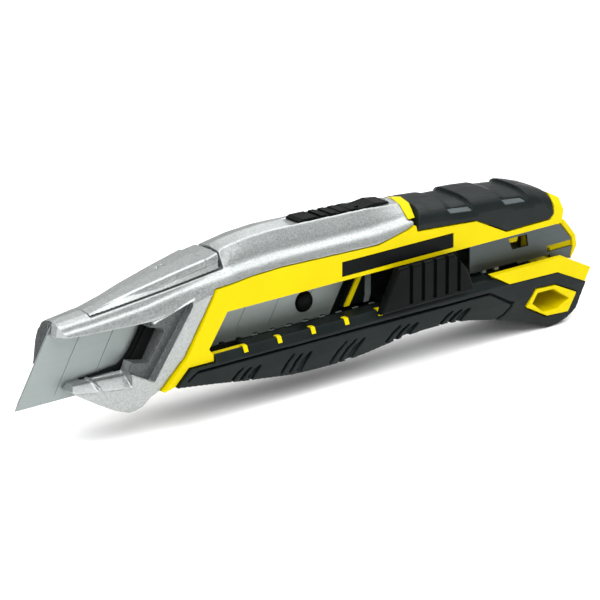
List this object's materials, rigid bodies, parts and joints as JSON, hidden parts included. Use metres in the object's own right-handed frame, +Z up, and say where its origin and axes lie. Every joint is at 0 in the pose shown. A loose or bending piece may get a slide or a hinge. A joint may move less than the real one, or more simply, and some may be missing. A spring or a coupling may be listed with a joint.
{
  "type": "utility knife",
  "caption": "Snap-off utility knife with a slanted segmented blade, cast metal nose, yellow housing, thumb slider and rubber grip with a hang hole.",
  "frame": {"origin": "under the middle of the knife's box, at the height of its lowest point", "axes": "+X runs along the knife from the blade's tip to the tail, +Y points out of the side away from the thumb slider, +Z is up with the cutting edge facing down"},
  "size_m": [0.1652, 0.0208, 0.0411],
  "materials": {
    "cast_metal": "sand-blasted casting with soft highlights",
    "blade_steel": "satin ground steel",
    "channel_steel": "dull grey plated steel",
    "yellow_plastic": "semi-gloss moulded yellow",
    "black_plastic": "fine-textured moulded black",
    "grip_rubber": "matte soft-touch rubber"
  },
  "bodies": {
    "handle": {"nose_casting": "cast_metal", "housing_near": "yellow_plastic", "housing_far": "yellow_plastic", "rear_cap": "grip_rubber", "lower_grip": "grip_rubber", "hang_hole_ring": "yellow_plastic", "blade_channel": "channel_steel", "lock_rack": "black_plastic", "snap_lever_pin": "blade_steel", "snap_return_spring": "blade_steel", "label_inlay": "black_plastic", "housing_screw_front": "channel_steel", "housing_screw_middle": "channel_steel", "housing_screw_rear": "channel_steel"},
    "carriage": {"blade": "blade_steel", "blade_peg": "black_plastic", "blade_carrier": "black_plastic", "release_bar": "yellow_plastic", "detent_spring": "blade_steel", "detent_rivet": "blade_steel", "thumb_slider": "black_plastic"},
    "button": {"snap_button": "black_plastic", "snap_link_rod": "blade_steel"},
    "lever": {"snap_lever": "cast_metal"},
    "plug": {"end_plug": "yellow_plastic"}
  },
  "joints": [
    {"name": "slider_slide", "type": "slide", "parent": "handle", "child": "carriage", "axis": [1, 0, 0], "range_m": [-0.046, 0.0145]},
    {"name": "snap_button_slide", "type": "slide", "parent": "handle", "child": "button", "axis": [-0.9998, 0, 0.0223], "range_m": [0, 0.0025], "stiffness_N_per_m": 300},
    {"name": "snap_lever_hinge", "type": "hinge", "parent": "handle", "child": "lever", "pos_m": [-0.02905, 0.00115, 0.0364], "axis": [0, 1, 0], "range_deg": [0, 15]},
    {"name": "end_plug_slide", "type": "slide", "parent": "handle", "child": "plug", "axis": [1, 0, 0], "range_m": [0, 0.02]}
  ],
  "couplings": [
    {"joint": "snap_lever_hinge", "follows": "snap_button_slide", "rad_per_m": 104.7}
  ]
}
